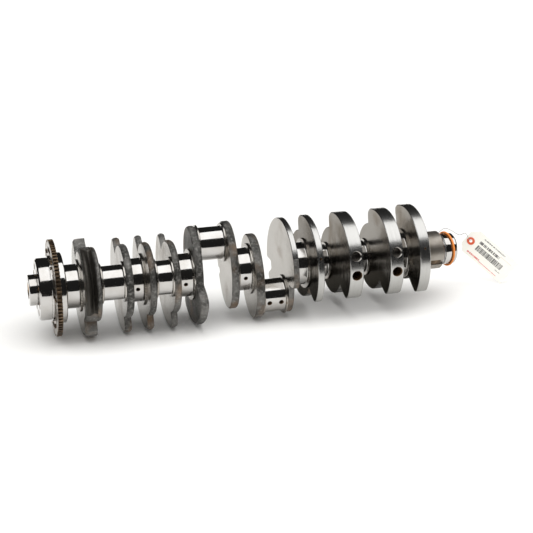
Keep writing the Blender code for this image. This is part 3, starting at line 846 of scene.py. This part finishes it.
# ---- Nose hub and key ------------------------------------------------------------------------
# The satin-turned seat for the pulley's hub, at the front end of the forging.  Its keyway is
# milled, and a blackened steel key is pressed into it.
nose_lo, nose_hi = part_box("nose_hub")
NOSE_R = 30.7 * MM
snout_lo, snout_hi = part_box("nose_snout")
SNOUT_R = (snout_hi[2] - snout_lo[2]) / 2
hub_profile = [(nose_lo[0], NOSE_R + 2.0 * MM), (nose_lo[0] + 0.8 * MM, NOSE_R + 0.4 * MM),
               (nose_lo[0] + 1.6 * MM, NOSE_R), (nose_hi[0] - 1.8 * MM, NOSE_R),
               (nose_hi[0], NOSE_R - 1.8 * MM), (nose_hi[0], SNOUT_R + SEAT_GAP),
               (nose_hi[0] - SEAT_DEEP, SNOUT_R + SEAT_GAP)]
grey_steel, grey, shader = new_finish("grey_steel", 0.9)
turning = grey.grain(grey.place((1500.0, 12.0, 12.0)), 1.0, 3.0)
cloud = grey.grain(grey.place(), 40.0, 4.0)
grey.feed(shader, "Base Color", grey.tint(grey.spread(cloud, 0.35, 0.75), (0.34, 0.315, 0.28),
                                          (0.20, 0.175, 0.145)))
grey.feed(shader, "Roughness", 0.30 + turning * 0.2)
grey.feed(shader, "Normal", grey.bump(turning, 0.03 * MM))
nose_hub = add_piece("nose_hub_turned", turned(hub_profile), [grey_steel], "grey_steel",
                     "nose_hub")
KEY_ANGLE = -43.0
KEY_WIDE = 10.0 * MM


def key_block(rear, front, wide, low, high, edge):
    """A block that lies along X at the key's angle, between two distances from the axis."""
    bm = bmesh.new()
    bmesh.ops.create_cube(bm, size=1.0)
    bmesh.ops.scale(bm, vec=(front - rear, high - low, wide), verts=bm.verts)
    bmesh.ops.translate(bm, vec=((front + rear) / 2, -(high + low) / 2, 0.0), verts=bm.verts)
    if edge:
        bmesh.ops.bevel(bm, geom=list(bm.edges), offset=edge, affect="EDGES", segments=2,
                        profile=0.5, material=-1)
    turn = Matrix.Rotation(math.radians(-(KEY_ANGLE + 20.0)), 3, "X")
    bmesh.ops.rotate(bm, matrix=turn, verts=bm.verts)
    bmesh.ops.translate(bm, vec=(0.0, *AXIS), verts=bm.verts)
    return bm


key_rear = nose_hi[0] - 34.0 * MM
carve(nose_hub, key_block(key_rear, nose_hi[0] + 5.0 * MM, KEY_WIDE, NOSE_R - 4.4 * MM,
                          NOSE_R + 5.0 * MM, 0.0), grey_steel)
add_piece("nose_key_block", key_block(key_rear + 0.3 * MM, nose_hi[0] - 6.0 * MM,
                                      KEY_WIDE - 0.6 * MM, NOSE_R - 4.1 * MM, NOSE_R - 1.2 * MM,
                                      0.5 * MM), [blackened_steel], "blackened_steel", "nose_key")


# ---- Snout -----------------------------------------------------------------------------------
# The ground and polished front end of the forging.  It has a turned groove near the hub, and a
# hole in its face for the bolt that holds the pulley on.
groove = [(SNOUT_GROOVE_X - 1.6 * MM, SNOUT_R), (SNOUT_GROOVE_X - 0.9 * MM, SNOUT_R - 1.6 * MM),
          (SNOUT_GROOVE_X + 0.9 * MM, SNOUT_R - 1.6 * MM), (SNOUT_GROOVE_X + 1.6 * MM, SNOUT_R)]
snout_profile = [(snout_lo[0], SNOUT_R), *groove, (snout_hi[0] - 2.8 * MM, SNOUT_R),
                 (snout_hi[0] - 2.2 * MM, SNOUT_R - 0.2 * MM),
                 (snout_hi[0], SNOUT_R - 2.4 * MM), (snout_hi[0], 14.0 * MM)]
nose_snout = add_piece("nose_snout_ground", turned(snout_profile), [ground_steel],
                       "ground_steel", "nose_snout")
drill(nose_snout, Vector((snout_hi[0], *AXIS)), Vector((1.0, 0.0, 0.0)), surface=0.0,
      radius=8.0 * MM, depth=20.0 * MM, chamfer=1.2 * MM, wall=hole_wall_shade)


# ---- Elastic band and wire loop --------------------------------------------------------------
# An orange rubber band is stretched over the snout and sits askew.  The galvanised wire that
# holds the tag is looped once round the snout's groove.
orange_rubber, rubber, shader = new_finish("orange_rubber", 0.0)
bloom = rubber.grain(rubber.place(), 300.0, 4.0)
rubber.feed(shader, "Base Color", rubber.tint(bloom, (0.72, 0.17, 0.02), (0.90, 0.33, 0.06)))
rubber.feed(shader, "Roughness", rubber.spread(bloom, 0.3, 0.7, 0.42, 0.62))
rubber.feed(shader, "Normal", rubber.bump(bloom, 0.08 * MM))
BAND_R = 1.6 * MM
BAND_MIDDLE_X = 333.0 * MM
BAND_ASKEW = 3.6 * MM


def band_station(angle):
    """How far along the shaft the band is, because it sits askew."""
    return BAND_MIDDLE_X + BAND_ASKEW * math.cos(math.radians(angle + 18.0))


band_line = [Vector((band_station(a), *around(SNOUT_R + BAND_R + 0.1 * MM, a)))
             for a in range(0, 360, 4)]
round_wire("snout_band_rubber", band_line, BAND_R, True, orange_rubber, "orange_rubber",
           "snout_band")
loop_line = [Vector((SNOUT_GROOVE_X + 0.25 * MM * math.sin(math.radians(3.0 * a)),
                     *around(LOOP_R, a))) for a in range(0, 360, 5)]
round_wire("tie_loop_wire", loop_line, WIRE_R, True, galvanised, "tie_wire", "tie_loop")


# ---- Tag and its eyelet ----------------------------------------------------------------------
# A buff card with clipped corners, printed with bars and rules, and a red paper washer round
# the hole.  It swings on the wire.
TAG_LONG = 95.0
TAG_WIDE = 48.0
TAG_THICK = 0.5
TAG_NEAR = -10.0
TAG_CLIP = 11.0
card_paper, card, shader = new_finish("tag_card", 0.0)
sheet_place = card.node("ShaderNodeUVMap", {"uv_map": "sheet"}, {})
along = card.node("ShaderNodeSeparateXYZ", {}, {"Vector": sheet_place}, "X")
across = card.node("ShaderNodeSeparateXYZ", {}, {"Vector": sheet_place}, "Y")


def box_mask(first, last, low, high):
    """1 inside a box on the card, in millimetres from the hole."""
    return (along > first) * (along < last) * (across > low) * (across < high)


def dashes(per_unit, seed, fill):
    """Short marks of uneven length along the card."""
    return card.node("ShaderNodeTexNoise", {"noise_dimensions": "1D"},
                     {"W": along + seed, "Scale": per_unit, "Detail": 0.0}) > fill


fibre = card.grain(card.place(), 700.0, 4.0)
paper = card.tint(fibre, (0.93, 0.915, 0.84), (0.97, 0.955, 0.89))
dark_ink = (box_mask(14.0, 69.0, -7.0, 3.0) * dashes(1.1, 3.0, 0.42)
            + box_mask(13.0, 55.0, 6.5, 11.5) * dashes(0.55, 20.0, 0.42)
            + box_mask(15.0, 61.0, 17.0, 19.0) * dashes(0.8, 50.0, 0.44)
            + box_mask(62.0, 72.0, -12.5, -10.5) * dashes(0.9, 70.0, 0.5))
red_ink = (box_mask(6.0, 32.0, -19.0, -16.0) * dashes(0.9, 90.0, 0.36)
           + box_mask(32.0, 71.0, -20.0, -18.6) * dashes(0.9, 110.0, 0.40)
           + box_mask(55.0, 78.0, 12.5, 13.2) * 0.4)
printed = card.tint(red_ink * 0.8, card.tint(dark_ink * 0.85, paper, (0.03, 0.03, 0.035)),
                    (0.70, 0.07, 0.06))
card.feed(shader, "Base Color", printed)
# painted light: the card glows faintly in its own printed colours
card.feed(shader, "Emission Color", printed)
shader.inputs["Emission Strength"].default_value = 0.04
card.feed(shader, "Roughness", card.spread(fibre, 0.3, 0.7, 0.62, 0.78))
card.feed(shader, "Normal", card.bump(fibre, 0.03 * MM))

card_bm = bmesh.new()
bmesh.ops.create_grid(card_bm, x_segments=38, y_segments=20, size=0.5)
bmesh.ops.scale(card_bm, vec=(TAG_LONG, TAG_WIDE, 1.0), verts=card_bm.verts)
bmesh.ops.translate(card_bm, vec=(TAG_LONG / 2 + TAG_NEAR, 0.0, 0.0), verts=card_bm.verts)
for side in (-1.0, 1.0):
    corner = Vector((TAG_NEAR, side * (TAG_WIDE / 2 - TAG_CLIP), 0.0))
    bmesh.ops.bisect_plane(card_bm, geom=[*card_bm.verts, *card_bm.edges, *card_bm.faces],
                           plane_co=corner, plane_no=(-1.0, side, 0.0), clear_outer=True)
sheet_uv = card_bm.loops.layers.uv.new("sheet")
for face in card_bm.faces:
    for loop in face.loops:
        loop[sheet_uv].uv = (loop.vert.co.x, loop.vert.co.y)
for vert in card_bm.verts:
    curl = max(0.0, vert.co.x - 20.0) / 65.0
    vert.co.z = 1.6 * curl * curl - 0.25 * curl * math.cos(vert.co.y / 9.0)
shell = bmesh.ops.extrude_face_region(card_bm, geom=list(card_bm.faces))
lifted = [v for v in shell["geom"] if isinstance(v, bmesh.types.BMVert)]
bmesh.ops.translate(card_bm, vec=(0.0, 0.0, TAG_THICK), verts=lifted)
bmesh.ops.translate(card_bm, vec=(0.0, 0.0, -TAG_THICK / 2), verts=card_bm.verts)
bmesh.ops.scale(card_bm, vec=(MM, MM, MM), verts=card_bm.verts)
bmesh.ops.transform(card_bm, matrix=tag_frame, verts=card_bm.verts)
tag_card = add_piece("tag_card_printed", card_bm, [card_paper], "tag_card", "tag_card",
                     body="tag", sharp=50.0)
hole_bm = bmesh.new()
bmesh.ops.create_cone(hole_bm, cap_ends=True, segments=40, radius1=2.5 * MM, radius2=2.5 * MM,
                      depth=8.0 * MM)
bmesh.ops.transform(hole_bm, matrix=tag_frame, verts=hole_bm.verts)
carve(tag_card, hole_bm, card_paper)

washer_red, washer, shader = new_finish("washer_red", 0.0)
pulp = washer.grain(washer.place(), 500.0, 4.0)
washer.feed(shader, "Base Color", washer.tint(pulp, (0.66, 0.09, 0.035), (0.80, 0.16, 0.07)))
washer.feed(shader, "Roughness", washer.spread(pulp, 0.3, 0.7, 0.5, 0.7))
washer.feed(shader, "Normal", washer.bump(pulp, 0.05 * MM))
face_z = TAG_THICK / 2 + 0.05
washer_bm = bmesh.new()
rim = [(2.7, face_z), (6.4, face_z), (6.8, face_z + 0.15), (6.7, face_z + 0.55),
       (6.2, face_z + 0.7), (3.2, face_z + 0.7), (2.8, face_z + 0.5)]
verts = [washer_bm.verts.new((r, 0.0, z)) for r, z in rim]
edges = [washer_bm.edges.new(pair) for pair in zip(verts, verts[1:] + verts[:1])]
bmesh.ops.spin(washer_bm, geom=verts + edges, cent=(0, 0, 0), axis=(0, 0, 1), angle=math.tau,
               steps=56, use_merge=True)
bmesh.ops.scale(washer_bm, vec=(MM, MM, MM), verts=washer_bm.verts)
bmesh.ops.transform(washer_bm, matrix=tag_frame, verts=washer_bm.verts)
add_piece("tag_eyelet_washer", washer_bm, [washer_red], "eyelet_patch", "tag_eyelet", body="tag")
